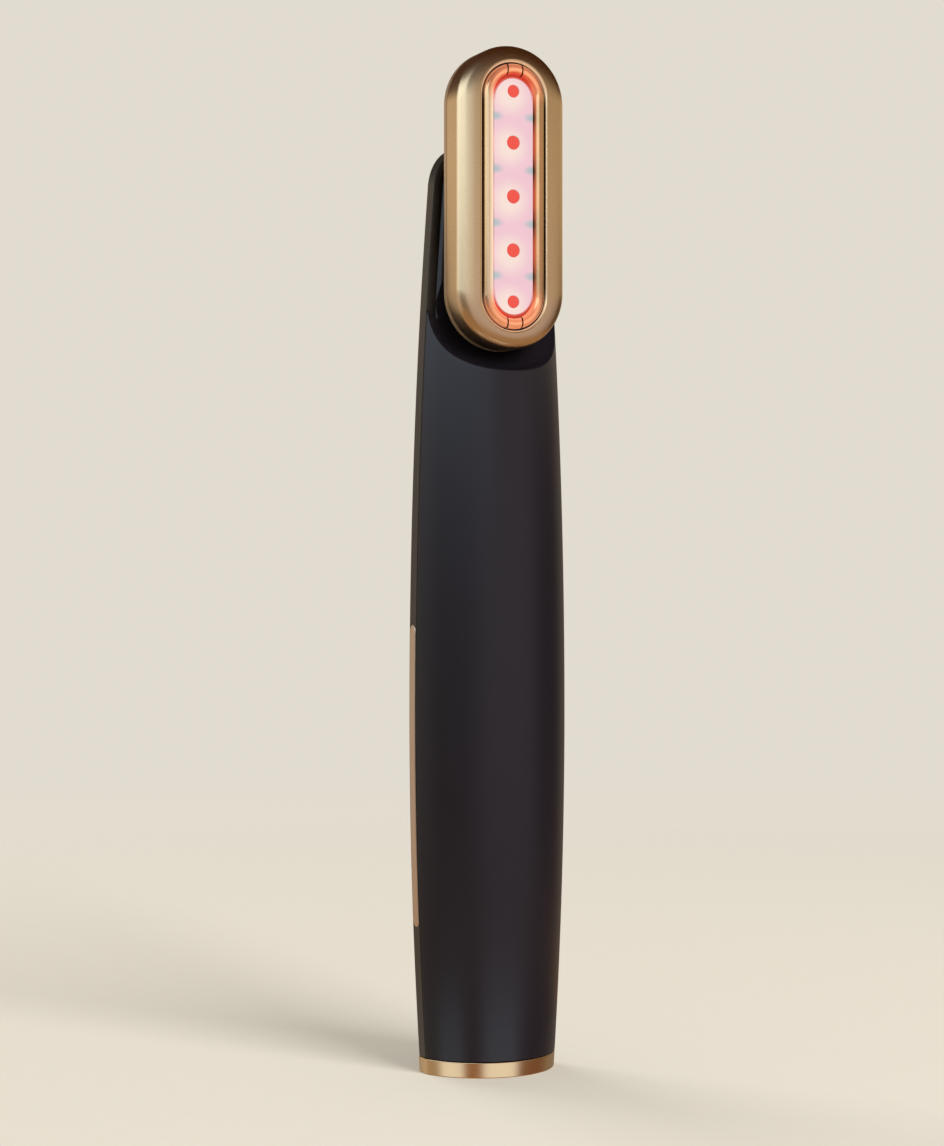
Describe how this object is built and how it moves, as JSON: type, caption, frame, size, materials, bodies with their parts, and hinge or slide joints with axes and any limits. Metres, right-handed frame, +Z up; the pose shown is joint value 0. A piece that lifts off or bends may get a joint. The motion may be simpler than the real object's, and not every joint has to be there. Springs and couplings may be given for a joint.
{
  "type": "skin firming wand",
  "caption": "Slim handheld skin treatment wand with a dark grip, a flat standing base and an oval swivelling head holding a lit window between curved electrodes.",
  "frame": {"origin": "middle of the flat underside of the base, on the surface the wand stands on", "axes": "+Z up along the handle; the head's lit face looks along -Y; +X to the right as seen facing that face"},
  "size_m": [0.0272, 0.0194, 0.169],
  "materials": {
    "dark_cover": "fine matte, soft touch",
    "rear_cover": "fine matte, soft touch",
    "gold_metal": "satin champagne gold",
    "contact_metal": "satin champagne gold",
    "electrode_metal": "polished champagne gold",
    "back_cover": "satin",
    "window": "clear, pink from the lights",
    "light": "lit red",
    "white_plastic": "gloss white",
    "frame_plastic": "natural moulded",
    "black_plastic": "moulded",
    "board": "solder mask",
    "cell": "foil",
    "foam": "foam tape",
    "wire": "insulated wire",
    "flat_cable": "polyimide film",
    "spring_metal": "bright",
    "steel": "bright",
    "rubber": "moulded",
    "clear_plastic": "clear"
  },
  "bodies": {
    "handle": {"front_cover": "dark_cover", "rear_cover": "rear_cover", "base_band": "gold_metal", "hand_contact_left": "contact_metal", "hand_contact_right": "contact_metal", "contact_springs": "spring_metal", "inner_frame": "frame_plastic", "frame_screws": "steel", "main_board": "board", "charging_socket": "steel", "socket_tongue": "black_plastic", "battery_cell": "cell", "battery_pad": "foam", "battery_leads": "wire", "button_switch": "black_plastic", "status_light": "white_plastic", "status_light_guide": "clear_plastic", "vibration_motor": "steel", "motor_sleeve": "rubber", "motor_leads": "wire", "swivel_bush": "black_plastic", "spring_washer": "steel", "flat_cable": "flat_cable"},
    "head": {"swivel_post": "steel", "retaining_clip": "steel", "head_back_cover": "back_cover", "head_bezel": "gold_metal", "electrode_carrier": "black_plastic", "electrode_left": "electrode_metal", "electrode_right": "electrode_metal", "electrode_spacers": "gold_metal", "head_window": "window", "reflector": "white_plastic", "light_board": "white_plastic", "lights": "light", "head_lead": "flat_cable"},
    "button": {"power_button": "gold_metal", "switch_plunger": "white_plastic"},
    "rotor": {"eccentric_weight": "steel"}
  },
  "joints": [
    {"name": "head_swivel", "type": "hinge", "parent": "handle", "child": "head", "pos_m": [0, 0, 0.1442], "axis": [0, 1, 0], "range_deg": [-90, 90]},
    {"name": "button_press", "type": "slide", "parent": "handle", "child": "button", "axis": [0, -1, 0], "range_m": [0, 0.0005], "stiffness_N_per_m": 800, "springref_m": -0.0005},
    {"name": "motor_spin", "type": "hinge", "parent": "handle", "child": "rotor", "pos_m": [0, -0.0024, 0.097], "axis": [0, 0, 1], "continuous": true}
  ]
}
